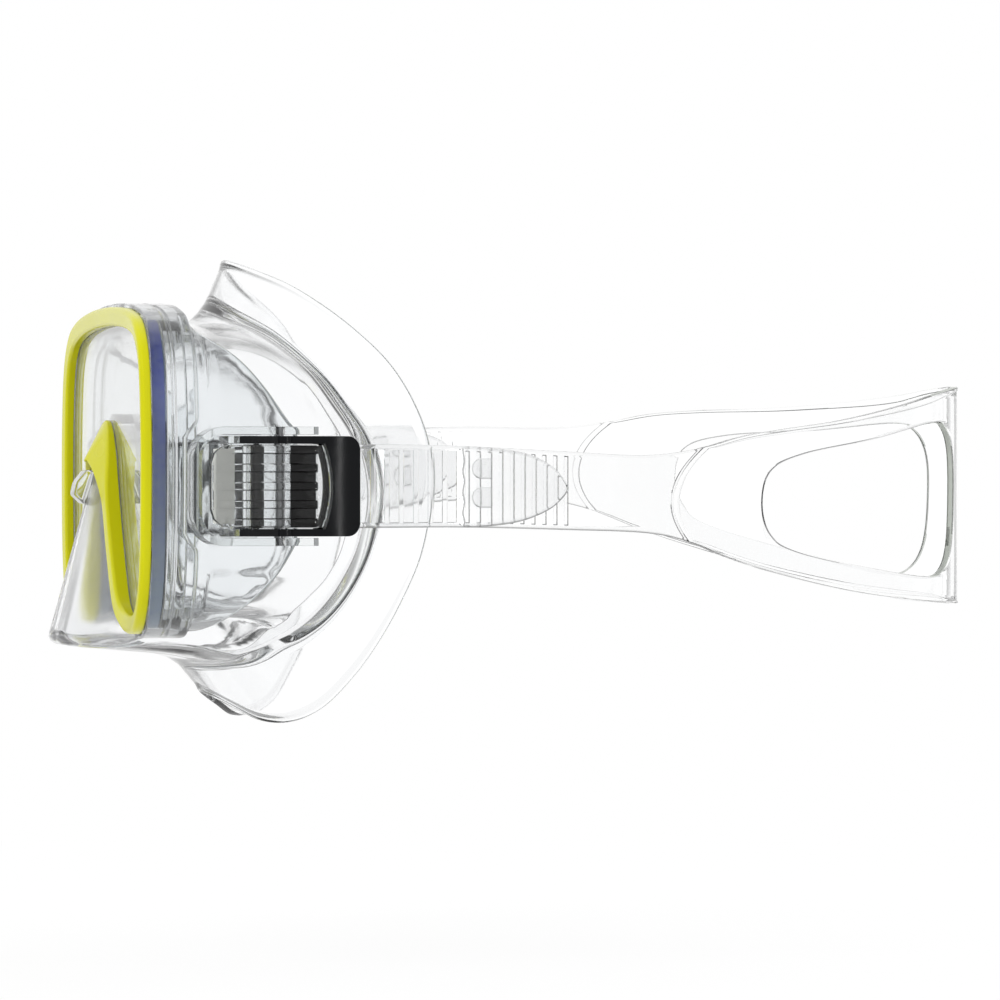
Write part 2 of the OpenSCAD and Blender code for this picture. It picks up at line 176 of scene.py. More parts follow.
turned_back = math_node(tree, "GREATER_THAN", rays.outputs["Glossy Depth"], 0.5)
tree.links.new(choose(tree, turned_back, 0.3, 1.0), glow.inputs["Strength"])
shown = math_node(tree, "MAXIMUM", rays.outputs["Is Camera Ray"], rays.outputs["Is Transmission Ray"])
shown = math_node(tree, "MULTIPLY", shown, clean)
blended = add_node(tree, "ShaderNodeMixShader")
tree.links.new(shown, blended.inputs["Fac"])
tree.links.new(matt.outputs["BSDF"], blended.inputs[1])
tree.links.new(glow.outputs["Emission"], blended.inputs[2])
tree.links.new(blended.outputs["Shader"], add_node(tree, "ShaderNodeOutputMaterial").inputs["Surface"])
floor_mesh.materials.append(floor_paint)

# Lens: one flat pane of tempered glass with a nose notch, ground round its edge. It lies in the
# frame's pocket; its blue-violet edge shows through the clear frame.
LENS_TO_SEAL = 45
OUTLINE = [(0, 43.5), (25, 43), (48, 41.2), (62.5, 37.5), (71.8, 28.5), (75.5, 12.5), (76, -5), (74.5, -22.5),
           (69.8, -34), (61, -41), (50, -42.5), (40, -41), (31.8, -35.5), (21.3, -21.5), (13.2, -8), (7.2, 3.2),
           (0, 8.6)]
STEPS = 8
LENS_EDGE, LENS_THICK = -1.4, 0.004


def row(x, y, z):
    return Vector(((x - LENS_TO_SEAL) * 0.001, y * 0.001, z * 0.001))


def spline(a, b, c, d, t):
    return 0.5 * (2 * b + (c - a) * t + (2 * a - 5 * b + 4 * c - d) * t ** 2 + (3 * b - a - 3 * c + d) * t ** 3)


def closed_curve(points, steps):
    count = len(points)
    return [spline(points[i - 1], points[i], points[(i + 1) % count], points[(i + 2) % count], k / steps)
            for i in range(count) for k in range(steps)]


def both_sides(half, across):
    other = [[-v if axis == across else v for axis, v in enumerate(p)] for p in half[-2:0:-1]]
    return [Vector(p) for p in [*half, *other]]


def both_values(half):
    return [*half, *half[-2:0:-1]]


outline = closed_curve(both_sides(OUTLINE, 0), STEPS)
stations = range(len(outline))
neighbours = [(outline[i - 1], outline[(i + 1) % len(outline)]) for i in stations]
outward = [Vector((a.y - b.y, b.x - a.x)).normalized() for a, b in neighbours]


def on_edge(i, out, x):
    p = outline[i] + out * outward[i]
    return row(x, p.x, p.y)


def finish_piece(name, form, materials, body, slot, *nodes):
    mesh = bpy.data.meshes.new(name)
    form.to_mesh(mesh)
    form.free()
    for paint in materials:
        mesh.materials.append(paint)
    mesh.polygons.foreach_set("use_smooth", [True] * len(mesh.polygons))
    mesh.set_sharp_from_angle(angle=math.radians(35))
    piece = bpy.data.objects.new(name, mesh)
    scene.collection.objects.link(piece)
    piece.modifiers.new("even_shading", "WEIGHTED_NORMAL").keep_sharp = True
    piece.data = bpy.data.meshes.new_from_object(piece.evaluated_get(bpy.context.evaluated_depsgraph_get()))
    piece.data.name = name
    piece.modifiers.clear()
    if body:
        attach(piece, body)
    if nodes:
        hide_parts(*nodes)
    return piece


def new_paint(name):
    paint = bpy.data.materials.new(name)
    paint.use_nodes = True
    return paint, paint.node_tree, paint.node_tree.nodes["Principled BSDF"]


def noise(tree, scale, detail=2.0):
    texture = add_node(tree, "ShaderNodeTexNoise", Scale=scale, Detail=detail)
    tree.links.new(add_node(tree, "ShaderNodeTexCoord").outputs["Object"], texture.inputs["Vector"])
    return texture.outputs["Fac"]


def spread(tree, socket, low, high):
    ranged = add_node(tree, "ShaderNodeMapRange")
    ranged.inputs["To Min"].default_value = low
    ranged.inputs["To Max"].default_value = high
    tree.links.new(socket, ranged.inputs["Value"])
    return ranged.outputs["Result"]


def bumped(tree, shader, height, strength, distance):
    bump = add_node(tree, "ShaderNodeBump", Strength=strength, Distance=distance)
    tree.links.new(height, bump.inputs["Height"])
    tree.links.new(bump.outputs["Normal"], shader.inputs["Normal"])


def clear_paint(name, colour, ior, smooth, rough, bump_scale, bump_height, tint=None, density=0):
    paint, tree, shader = new_paint(name)
    shader.inputs["Base Color"].default_value = (*colour, 1)
    shader.inputs["Transmission Weight"].default_value = 1
    shader.inputs["IOR"].default_value = ior
    tree.links.new(spread(tree, noise(tree, bump_scale * 0.6), smooth, rough), shader.inputs["Roughness"])
    bumped(tree, shader, noise(tree, bump_scale), 0.5, bump_height)
    if tint:
        depth = add_node(tree, "ShaderNodeVolumeAbsorption", Color=(*tint, 1), Density=density)
        tree.links.new(depth.outputs["Volume"], tree.nodes["Material Output"].inputs["Volume"])
    return paint


glass = clear_paint("tempered_glass", (0.99, 1, 0.995), 1.52, 0.0, 0.01, 60, 0.00001, (0.75, 0.9, 0.85), 4)
ground_edge, tree, shader = new_paint("ground_glass_edge")
# The edge colour paints light and shade: a ramp by height, from pale grey-blue low down to deep blue-violet at
# the top, stands in for how light falls through the frame. Noise streaks run over it.
ramp = add_node(tree, "ShaderNodeValToRGB")
ramp.color_ramp.elements[0].color = (0.6, 0.7, 0.84, 1)
ramp.color_ramp.elements[1].color = (0.16, 0.21, 0.9, 1)
place = add_node(tree, "ShaderNodeSeparateXYZ")
tree.links.new(add_node(tree, "ShaderNodeTexCoord").outputs["Object"], place.inputs["Vector"])
shade = add_node(tree, "ShaderNodeMapRange")
shade.inputs["From Min"].default_value, shade.inputs["From Max"].default_value = -0.03, 0.035
tree.links.new(place.outputs["Z"], shade.inputs["Value"])
streaks = math_node(tree, "MULTIPLY_ADD", noise(tree, 500, 4), 0.5)
tree.links.new(shade.outputs["Result"], streaks.node.inputs[2])
tree.links.new(math_node(tree, "SUBTRACT", streaks, 0.25), ramp.inputs["Fac"])
tree.links.new(ramp.outputs["Color"], shader.inputs["Base Color"])
shader.inputs["Transmission Weight"].default_value = 0.35
tree.links.new(spread(tree, noise(tree, 900), 0.25, 0.5), shader.inputs["Roughness"])


def verts_in(geom):
    return [v for v in geom if isinstance(v, bmesh.types.BMVert)]


form = bmesh.new()
rim = [form.verts.new(on_edge(i, LENS_EDGE, 0.5)) for i in stations]
front = form.faces.new(rim)
back = bmesh.ops.extrude_face_region(form, geom=[front])["geom"]
bmesh.ops.translate(form, verts=verts_in(back), vec=(LENS_THICK, 0, 0))
bmesh.ops.recalc_face_normals(form, faces=form.faces)
edges = [e for e in form.edges if {len(f.verts) > 4 for f in e.link_faces} == {True, False}]
bmesh.ops.bevel(form, geom=edges, offset=0.0005, offset_type="OFFSET", affect="EDGES", segments=2,
                profile=0.5, material=-1)
form.normal_update()
for face in form.faces:
    if len(face.verts) <= 4 and abs(face.normal.x) < 0.3:
        face.material_index = 1
finish_piece("lens_pane", form, [glass, ground_edge], "mask", "lens_glass", "lens")

# Bezel: a yellow injection-moulded ring with a rounded face. It clamps the glass from the front, and
# dips over the nose in an arch that stands prouder than the rest.
NOSE_SHARE = [0, 0, 0, 0, 0, 0, 0, 0, 0, 0, 0, 0.3, 0.9, 1, 1, 1, 1]
BEZEL_PROUD = 2.4
BEZEL_FACE = 5
ARCH_PROUD = 1.5
BEAK_SHARE = [0] * 14 + [0.05, 0.62, 1]
BEAK_DROP, BEAK_REACH = 6.6, 6.7
TIP_KEEP, TIP_LOW, TIP_HALF = 0.3, 0.0025, 0.003
nose_share = closed_curve(both_values(NOSE_SHARE), STEPS)
beak_share = closed_curve(both_values(BEAK_SHARE), STEPS)


def mixed(a, b, t):
    return a + (b - a) * t


def soft_corner(before, here, after, radius, steps):
    reach = [min(radius * 0.001, 0.45 * (p - here).length) for p in (before, after)]
    start = here + (before - here).normalized() * reach[0] if (before - here).length > 1e-9 else here
    end = here + (after - here).normalized() * reach[1] if (after - here).length > 1e-9 else here
    shares = [k / steps for k in range(steps + 1)]
    return [start * (1 - t) ** 2 + here * 2 * t * (1 - t) + end * t ** 2 for t in shares]


def soft_section(corners, steps):
    points = [p for p, _ in corners]
    count = len(points)
    return [q for i, (p, radius) in enumerate(corners)
            for q in soft_corner(points[i - 1], p, points[(i + 1) % count], radius, steps)]


def swept(sections, closed, form=None, caps=2):
    form = form or bmesh.new()
    first = line = [form.verts.new(p) for p in sections[0]]
    edges = [form.edges.new((line[i - 1], line[i])) for i in range(len(line))]
    for points in [*sections[1:], *([sections[0]] if closed else [])]:
        made = bmesh.ops.extrude_edge_only(form, edges=edges)["geom"]
        fresh = set(verts_in(made))
        line = [next(e.other_vert(v) for e in v.link_edges if e.other_vert(v) in fresh) for v in line]
        for v, p in zip(line, points):
            v.co = p
        edges = [e for e in made if isinstance(e, bmesh.types.BMEdge) and fresh.issuperset(e.verts)]
    if not closed:
        for loop in (first, line)[:caps]:
            form.faces.new(loop)
    bmesh.ops.remove_doubles(form, verts=form.verts, dist=1e-7)
    bmesh.ops.dissolve_degenerate(form, edges=form.edges, dist=1e-7)
    bmesh.ops.recalc_face_normals(form, faces=form.faces)
    return form


def arch_edge(i, out, x):
    p = on_edge(i, out, x)
    across = outline[i].x * 0.001
    p.y = max(p.y, TIP_KEEP * across) if across > 0 else min(p.y, TIP_KEEP * across)
    if abs(across) < TIP_HALF:
        p.z = max(p.z, TIP_LOW)
    return p


def bezel_section(i):
    front = -BEZEL_PROUD - ARCH_PROUD * nose_share[i]
    band = [(0, 0.4), (0, front + 0.9), (-0.5, front + 0.2), (-1.2, front), (-BEZEL_FACE + 0.6, front + 0.4),
            (-BEZEL_FACE, front + 1), (-BEZEL_FACE, 0.4)]
    beak = [(0, 0.4), (BEAK_DROP - 0.4, 2.1 - BEAK_REACH), (BEAK_DROP, 1.6 - BEAK_REACH),
            (BEAK_DROP - 0.5, -BEAK_REACH), (-BEZEL_FACE + 1, -1.5), (-BEZEL_FACE, -0.8), (-BEZEL_FACE, 0.4)]
    share = min(max(beak_share[i], 0), 1)
    radii = (0.2, 0.35, 0.35, 0.5, 0.4, 0.4, 0.2)
    return soft_section([(arch_edge(i, mixed(p[0], q[0], share), mixed(p[1], q[1], share)), radius)
                         for p, q, radius in zip(band, beak, radii)], 3)


yellow, tree, shader = new_paint("yellow_moulded_plastic")
ramp = add_node(tree, "ShaderNodeValToRGB")
ramp.color_ramp.elements[0].color = (0.54, 0.525, 0.001, 1)
ramp.color_ramp.elements[1].color = (0.64, 0.63, 0.001, 1)
tree.links.new(noise(tree, 25, 1), ramp.inputs["Fac"])
tree.links.new(ramp.outputs["Color"], shader.inputs["Base Color"])
tree.links.new(spread(tree, noise(tree, 50, 1), 0.22, 0.3), shader.inputs["Roughness"])
shader.inputs["Specular IOR Level"].default_value = 0.2
shader.inputs["Coat Weight"].default_value = 0.12
shader.inputs["Coat Roughness"].default_value = 0.04
form = swept([bezel_section(i) for i in stations], True)
finish_piece("bezel_ring", form, [yellow], "mask", "bezel_yellow", "lens_bezel")

# Frame: one clear polycarbonate moulding, a ring that holds glass and skirt, with a groove round its
# side and two wings that run back to carry the buckles.
WING_TOP = [(11.7, 37), (15, 34.8), (23.2, 29.2), (30, 21.6), (36, 12.8), (38.5, 10)]
WING_LOW = [(38.5, -18.6), (34, -26.6), (28.3, -33.2), (22, -38.2), (17, -41), (11.7, -42.6)]
FRAME_REAR = 12
WING_FROM = 53


def open_curve(points, steps):
    points = [Vector(p) for p in points]
    held = [points[0], *points, points[-1]]
    curve = [spline(*held[i:i + 4], k / steps) for i in range(len(points) - 1) for k in range(steps)]
    return [*curve, points[-1]]


wing_edge = open_curve(WING_TOP, 6) + open_curve(WING_LOW, 6)


def wing_reach(p):
    z = p.z * 1000
    if abs(p.y) * 1000 < WING_FROM:
        return FRAME_REAR + 0.2
    for a, b in zip(wing_edge, wing_edge[1:]):
        if b.y <= z <= a.y:
            t = (a.y - z) / max(a.y - b.y, 1e-6)
            return max(FRAME_REAR + 0.2, a.x + (b.x - a.x) * t)
    return FRAME_REAR + 0.2


HOUSING_BITE = 3.2
HOUSING_SPAN = (-21.4, 13)


def ease(t):
    t = min(max(t, 0), 1)
    return t * t * (3 - 2 * t)


def frame_section(i):
    outer, inner = wing_reach(on_edge(i, -0.7, 0)), wing_reach(on_edge(i, -4.1, 0))
    bite = 0
    if abs(outline[i].x) > WING_FROM:
        low, high = (ease(gap / 5) for gap in (outline[i].y - HOUSING_SPAN[0], HOUSING_SPAN[1] - outline[i].y))
        bite = HOUSING_BITE * low * high
    rear = FRAME_REAR - bite
    profile = [(-1, 0.5, 0.2), (1, 0.5, 0.7), (1, 5.6, 0.2), (0.55, 5.9, 0.2), (0.55, 6.5, 0.2), (1, 6.8, 0.2),
               (1, rear, 0.8), (-0.7, rear + 0.1, 0.8), (-0.7, outer, 1.1), (-4.1, inner, 1.1),
               (-4.1, FRAME_REAR + 0.1, 0.3), (-4.5, FRAME_REAR, 0.2), (-4.5, 9.8, 0.3), (-1, 9.8, 0.3)]
    return soft_section([(on_edge(i, out, x), radius) for out, x, radius in profile], 3)


polycarbonate = clear_paint("clear_polycarbonate", (0.99, 0.995, 0.995), 1.58, 0.0, 0.04, 90, 0.00004,
                            (0.72, 0.84, 0.8), 6)
hazy_polycarbonate = clear_paint("moulded_polycarbonate", (0.93, 0.95, 0.96), 1.58, 0.01, 0.06, 45, 0.0022,
                                 (0.75, 0.84, 0.9), 14)
form = swept([frame_section(i) for i in stations], True)
finish_piece("frame_ring", form, [hazy_polycarbonate], "mask", "clear_frame", "frame")

# Nose clip: a small clear polycarbonate block under the bezel's arch. It is moulded with bevelled
# corners and pushed on the ridge of the nose pocket.
CLIP_SIDE = [(-4, 0.2), (-6.6, 0.4), (-9.1, -2.8), (-9.9, -6.2), (-6.9, -9)]
CLIP_HALF = 4
form = bmesh.new()
cheek = form.faces.new([form.verts.new(row(x, -CLIP_HALF, z)) for x, z in CLIP_SIDE])
far = bmesh.ops.extrude_face_region(form, geom=[cheek])["geom"]
bmesh.ops.translate(form, verts=verts_in(far), vec=(0, 2 * CLIP_HALF * 0.001, 0))
bmesh.ops.recalc_face_normals(form, faces=form.faces)
bmesh.ops.bevel(form, geom=form.edges, offset=0.0007, offset_type="OFFSET", affect="EDGES", segments=3,
                profile=0.5, material=-1)
finish_piece("nose_clip_block", form, [polycarbonate], "mask", "clear_frame", "nose_clip")

# Skirt: one clear silicone moulding. Its flange sits behind the glass, the wall bends out past the
# frame and forward round the nose, and at the fold it splits into an outer and an inner sealing lip.
LIP = [(31.3, 0, 56.5), (36.3, 24, 53), (44.8, 43.5, 47), (56.2, 57, 37), (65.8, 66, 25.5), (72.6, 71.5, 10),
       (74, 72.5, -5), (71.8, 70.5, -21), (67.4, 65, -34), (62.5, 58, -45), (57.3, 50.5, -54),
       (50.8, 42.5, -62), (43.8, 34.5, -66), (37.5, 25, -66), (32, 15, -63), (27, 7, -60), (25, 0, -58.7)]
FOLD = [(26.5, 0, 45.3), (30, 22, 41.5), (38, 42, 34.5), (46.5, 55, 25), (52.5, 62, 16), (58, 67, 6),
        (60.4, 68, -6.5), (58.5, 66, -19.5), (54.5, 61.5, -30), (50, 56, -37.5), (45, 50, -43), (39.5, 43, -47),
        (33, 35, -49.8), (27, 25, -51), (22.5, 14, -51.3), (19.7, 6.5, -51.3), (18.8, 0, -51.2)]
SEAL = [(30.5, 0, 36.5), (31, 21, 35), (37.5, 38.5, 29.5), (44, 48.5, 22.5), (49, 54, 15), (53.5, 58, 6),
        (54.8, 59, -7), (53, 57.5, -19.5), (49.5, 53, -27.5), (45.5, 48, -32.5), (41.5, 43, -36.5),
        (37.5, 37.5, -41), (33, 31.5, -46), (28.5, 23, -47.5), (24.5, 13, -48), (22.3, 6, -48), (21.8, 0, -48)]
NOSE_FRONT = [(3, 29, -44.4), (-7, 18, -46.4), (-13.8, 11.6, -46.2), (-15.9, 5, -45.7), (-16.4, 0, -45.5)]
NOSE_UNDER = [(15.5, 30.5, -46.8), (14.5, 18.5, -48.4), (14, 11, -48.6), (13.8, 5, -48.6), (13.8, 0, -48.6)]
NOSE_TURN = [15] * 12 + [13.5, 2.5, -0.8, -1.7, -2]
NOSE_FROM = 12
NECK_IN = -4.9
ARCH_IN = 1.5
SKIRT_T = 1.8
LIP_T = 0.9
NOSE_THICKER = 0.55
BEAD_WIDE, BEAD_HIGH = 2.2, 0.6


def soft_rail(half):
    return [row(*p) for p in closed_curve(both_sides(half, 1), STEPS)]


def sign(v):
    return (v > 0) - (v < 0)


wall_half = [(16.5, y - 5.4 * sign(y), z - 4.6 * sign(z) * (abs(z) > 26)) for y, z in OUTLINE[:NOSE_FROM]]
wall_half += NOSE_FRONT
under_half = [tuple(mixed(w, f, t) for w, f, t in zip(wall_half[i], FOLD[i], (0.6, 0.3, 0.18)))
              for i in range(NOSE_FROM)] + NOSE_UNDER
lip, fold, seal = soft_rail(LIP), soft_rail(FOLD), soft_rail(SEAL)
wall, under = soft_rail(wall_half), soft_rail(under_half)
nose_turn = closed_curve(both_values(NOSE_TURN), STEPS)
leave = [on_edge(i, mixed(NECK_IN, ARCH_IN, s), mixed(13.2, 12.9, s)) for i, s in enumerate(nose_share)]
forward = [on_edge(i, mixed(NECK_IN, ARCH_IN, s), nose_turn[i]) for i, s in enumerate(nose_share)]


def inside(before, here, after, thick):
    count = len(here)
    along = [here[(i + 1) % count] - here[i - 1] for i in range(count)]
    return [p + 0.001 * thick * d.cross(b - a).normalized() for p, d, a, b in zip(here, along, before, after)]


def between(here, one, other, thick):
    return [p + 0.001 * thick * ((a - p).normalized() + (b - p).normalized()).normalized()
            for p, a, b in zip(here, one, other)]


def past(start, end):
    return [2 * b - a for a, b in zip(start, end)]


lip_in = [b - a for a, b in zip(lip, inside(fold, lip, past(fold, lip), 1))]
lip_back = [(a - b).normalized() * 0.001 for a, b in zip(fold, lip)]
bead_start = [p + BEAD_WIDE * d for p, d in zip(lip, lip_back)]
bead_out = [p - BEAD_HIGH * d for p, d in zip(lip, lip_in)]
bead_in = [p + (LIP_T + BEAD_HIGH) * d for p, d in zip(lip, lip_in)]
bead_end = [p + LIP_T * d + BEAD_WIDE * e for p, d, e in zip(lip, lip_in, lip_back)]
seal_in = [(b - a) * (LIP_T / 2) for a, b in zip(seal, inside(fold, seal, past(fold, seal), 1))]
wall_in = [mixed(a, b, 1 + NOSE_THICKER * s)
           for a, b, s in zip(wall, inside(forward, wall, under, SKIRT_T), nose_share)]
inner_out = [mixed(NECK_IN - SKIRT_T, ARCH_IN + SKIRT_T, s) for s in nose_share]
rails = [
    ([on_edge(i, LENS_EDGE, 4.6) for i in stations], 0.3),
    ([on_edge(i, LENS_EDGE, 9.6) for i in stations], 0.3),
    ([on_edge(i, NECK_IN, 9.6) for i in stations], 0.3),
    ([on_edge(i, NECK_IN, 12.3) for i in stations], 0.6),
    (leave, 1.2), (forward, 1.6), (wall, 3), (under, 6), (fold, 2.2), (bead_start, 1), (bead_out, 1),
    (bead_in, 1), (bead_end, 1), (between(fold, lip, seal, 1.5), 1.5),
    ([p - d for p, d in zip(seal, seal_in)], 0.4), ([p + d for p, d in zip(seal, seal_in)], 0.4),
    (between(fold, seal, under, SKIRT_T), 3), (inside(wall, under, fold, SKIRT_T), 5),
    (wall_in, 2.5), ([on_edge(i, inner_out[i], nose_turn[i]) for i in stations], 1.2),
    ([on_edge(i, inner_out[i], mixed(13.2, 14.7, s)) for i, s in enumerate(nose_share)], 0.8),
    ([on_edge(i, NECK_IN - SKIRT_T, mixed(12, 14.7, s)) for i, s in enumerate(nose_share)], 0.5),
    ([on_edge(i, NECK_IN - SKIRT_T, 4.6) for i in stations], 0.3)]
skirt_silicone = clear_paint("skirt_silicone", (0.99, 0.994, 0.998), 1.41, 0.03, 0.08, 40, 0.00008)
nose_silicone = clear_paint("nose_silicone", (0.985, 0.99, 0.998), 1.41, 0.08, 0.14, 40, 0.00008)
nose_silicone.node_tree.nodes["Principled BSDF"].inputs["Transmission Weight"].default_value = 0.93
form = swept([soft_section([(rail[i], radius) for rail, radius in rails], 4) for i in stations], True)
for face in form.faces:
    spot = face.calc_center_median()
    face.material_index = spot.x < row(3, 0, 0).x and spot.z < 0
finish_piece("skirt_moulding", form, [skirt_silicone, nose_silicone], "mask", "skirt_silicone", "skirt")

# Buckles, one each side: a clear housing on the wing, a steel swivel pin, a black yoke with the collar
# that the strap passes through, a roller on its axle, and a clear ribbed button with its pawl. A steel
# leaf spring between the yoke's bar and the button bends as the button is pressed.
black, tree, shader = new_paint("black_moulded_plastic")
shader.inputs["Base Color"].default_value = (0.004, 0.0045, 0.0055, 1)
shader.inputs["Specular IOR Level"].default_value = 0.3
tree.links.new(spread(tree, noise(tree, 300), 0.16, 0.26), shader.inputs["Roughness"])
bumped(tree, shader, noise(tree, 2500, 3), 0.3, 0.00005)
steel, tree, shader = new_paint("turned_steel")
shader.inputs["Base Color"].default_value = (0.62, 0.63, 0.65, 1)
shader.inputs["Metallic"].default_value = 1
tree.links.new(spread(tree, noise(tree, 700), 0.18, 0.4), shader.inputs["Roughness"])
# The leaf spring's near-white, mostly diffuse base colour is painted sheen: it stands in for the bright
# reflections of steel, and keeps only a little metal over a real satin roughness.
spring_steel, tree, shader = new_paint("satin_steel_painted_sheen")
shader.inputs["Base Color"].default_value = (0.9, 0.915, 0.87, 1)
shader.inputs["Metallic"].default_value = 0.15
tree.links.new(spread(tree, noise(tree, 700), 0.4, 0.6), shader.inputs["Roughness"])


def merged_copy(node):
    form = bmesh.new()
    form.from_mesh(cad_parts[node].data)
    bmesh.ops.remove_doubles(form, verts=form.verts, dist=2e-6)
    bmesh.ops.dissolve_limit(form, angle_limit=math.radians(1), verts=form.verts, edges=form.edges)
    return form


def rounded(form, radius, angle):
    edges = [e for e in form.edges if len(e.link_faces) == 2 and e.calc_face_angle() > math.radians(angle)]
    bmesh.ops.bevel(form, geom=edges, offset=radius * 0.001, offset_type="OFFSET", affect="EDGES", segments=3,
                    profile=0.5, material=-1, clamp_overlap=True)
    bmesh.ops.triangulate(form, faces=[f for f in form.faces if len(f.verts) > 4])
    return form


YOKE_SPLIT = -12
PIN_X, PIN_Y, PIN_Z = 32.4, 81, -4.2
STRAP_ANGLE = math.radians(5)
BUTTON_HALF = 10.5
BUTTON_FRONT, FRONT_CORNER = -14.4, 5
REAR_CENTRE, REAR_ROUND = -17, 29.1
BUTTON_UNDER, BUTTON_TOP, TRUNNION_W = 4.6, 6.5, 5.9
RIB_COUNT, RIB_HALF, RIB_HEIGHT, RIB_INSET = 5, 1.15, 0.7, 1.2
RIB_START, RIB_BOW = -18, 0.035
RIB_ROUND = ((-1, 0), (-0.9, 0.4), (-0.8, 0.8), (-0.7, 0.97), (-0.58, 1), (0, 1),
             (0.58, 1), (0.7, 0.97), (0.8, 0.8), (0.9, 0.4), (1, 0))
COLLAR_MIDDLE, COLLAR_REACH, COLLAR_DOME, COLLAR_FACE = 12.8, 7, 1.2, 5.2


def buckle_point(v, w):
    return Vector((PIN_X + v * math.cos(STRAP_ANGLE) + w * math.sin(STRAP_ANGLE),
                   PIN_Y - v * math.sin(STRAP_ANGLE) + w * math.cos(STRAP_ANGLE)))


def button_section(z, centre, rise, side):
    corner = max(abs(z) - BUTTON_HALF + FRONT_CORNER, 0)
    front = BUTTON_FRONT - math.sqrt(FRONT_CORNER ** 2 - corner ** 2)
    rear = REAR_CENTRE + math.sqrt(REAR_ROUND ** 2 - z ** 2)
    across = min(abs(z - centre) / RIB_HALF, 1)
    start = RIB_START + RIB_BOW * centre ** 2 + RIB_HALF * (1 - math.sqrt(1 - across ** 2))
    top = BUTTON_TOP
    lift = RIB_HEIGHT * rise
    ridge = [(8.6, 0), (8.35, 0.6), (7.8, 1), (3, 1), (-3, 1), (-9, 1), (start + 1.4, 1), (start + 0.8, 0.9),
             (start + 0.3, 0.6), (start - 0.1, 0)]
    profile = [(front + 0.2, BUTTON_UNDER), (rear - 0.2, BUTTON_UNDER), (rear, BUTTON_UNDER + 0.2),
               (rear, top - 0.25), (rear - 0.25, top), *[(v, top + lift * share) for v, share in ridge],
               (front + 0.6, top), (front + 0.2, top - 0.1), (front, top - 0.4), (front, BUTTON_UNDER + 0.2)]
    return [row(p.x, side * p.y, PIN_Z + z) for p in (buckle_point(v, w) for v, w in profile)]


def ribbed_button(side):
    pitch = 2 * (BUTTON_HALF - RIB_INSET) / (RIB_COUNT - 1)
    centres = [-BUTTON_HALF + RIB_INSET + k * pitch for k in range(RIB_COUNT)]
    lines = [(-BUTTON_HALF, centres[0], 0)]
    lines += [(centre + RIB_HALF * across, centre, rise) for centre in centres for across, rise in RIB_ROUND]
    lines += [(BUTTON_HALF, centres[-1], 0)]
    form = swept([button_section(*line, side) for line in lines], False)
    spot = buckle_point(0, TRUNNION_W)
    for end in (-1, 1):
        stub = bmesh.ops.create_cone(form, cap_ends=True, segments=24, radius1=0.001, radius2=0.001,
                                     depth=0.0021)["verts"]
        z = PIN_Z + end * (BUTTON_HALF + 1.1)
        bmesh.ops.translate(form, verts=stub, vec=row(spot.x, side * spot.y, z))
    return form


def yoke_part(hand, side, keeps_rear):
    form = merged_copy(f"{hand}_yoke")
    spot = buckle_point(YOKE_SPLIT, 0)
    ahead = Vector((math.cos(STRAP_ANGLE), -side * math.sin(STRAP_ANGLE), 0))
    cut = bmesh.ops.bisect_plane(form, geom=[*form.verts, *form.edges, *form.faces], dist=1e-6,
                                 plane_co=row(spot.x, side * spot.y, 0), plane_no=ahead,
                                 clear_inner=keeps_rear, clear_outer=not keeps_rear)["geom_cut"]
    bmesh.ops.holes_fill(form, edges=[e for e in cut if isinstance(e, bmesh.types.BMEdge)], sides=0)
    bmesh.ops.recalc_face_normals(form, faces=form.faces)
    rounded(form, 0.5, 30)
    if keeps_rear:
        for v in range(9, 20):
            spot = buckle_point(v, 0)
            bmesh.ops.bisect_plane(form, geom=[*form.verts, *form.edges, *form.faces], dist=1e-6,
                                   plane_co=row(spot.x, side * spot.y, 0), plane_no=ahead)
        out = Vector((math.sin(STRAP_ANGLE), side * math.cos(STRAP_ANGLE), 0))
        for vert in form.verts:
            spot = vert.co - row(PIN_X, side * PIN_Y, 0)
            v, w = 1000 * spot.dot(ahead), 1000 * spot.dot(out)
            dome = max(1 - ((v - COLLAR_MIDDLE) / COLLAR_REACH) ** 2, 0)
            vert.co += out * 0.001 * COLLAR_DOME * dome * ease((w - COLLAR_FACE) / 0.6)
    return form


for hand, side in (("left", -1), ("right", 1)):
    form = rounded(merged_copy(f"{hand}_buckle_housing"), 0.8, 30)
    finish_piece(f"{hand}_housing", form, [polycarbonate], "mask", "buckle_clear", f"{hand}_buckle_housing")
    for name, keeps_rear, paint, slot in (("collar_yoke", True, black, "buckle_black"),
                                          ("spring_bar", False, polycarbonate, "buckle_clear")):
        form = yoke_part(hand, side, keeps_rear)
        finish_piece(f"{hand}_{name}", form, [paint], f"{hand}_yoke_body", slot, f"{hand}_yoke")
    finish_piece(f"{hand}_ribbed_button", ribbed_button(side), [polycarbonate], f"{hand}_button_body",
                 "buckle_clear", f"{hand}_release_button")
    form = merged_copy(f"{hand}_button_spring")
    leaf = finish_piece(f"{hand}_leaf_spring", form, [spring_steel], None, "steel", f"{hand}_button_spring")
    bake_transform(leaf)
    for part, paint in (("swivel_pin", steel), ("roller_axle", steel),
                        ("strap_roller", black), ("pawl", black)):
        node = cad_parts[f"{hand}_{part}"]
        node.data.materials.clear()
        node.data.materials.append(paint)

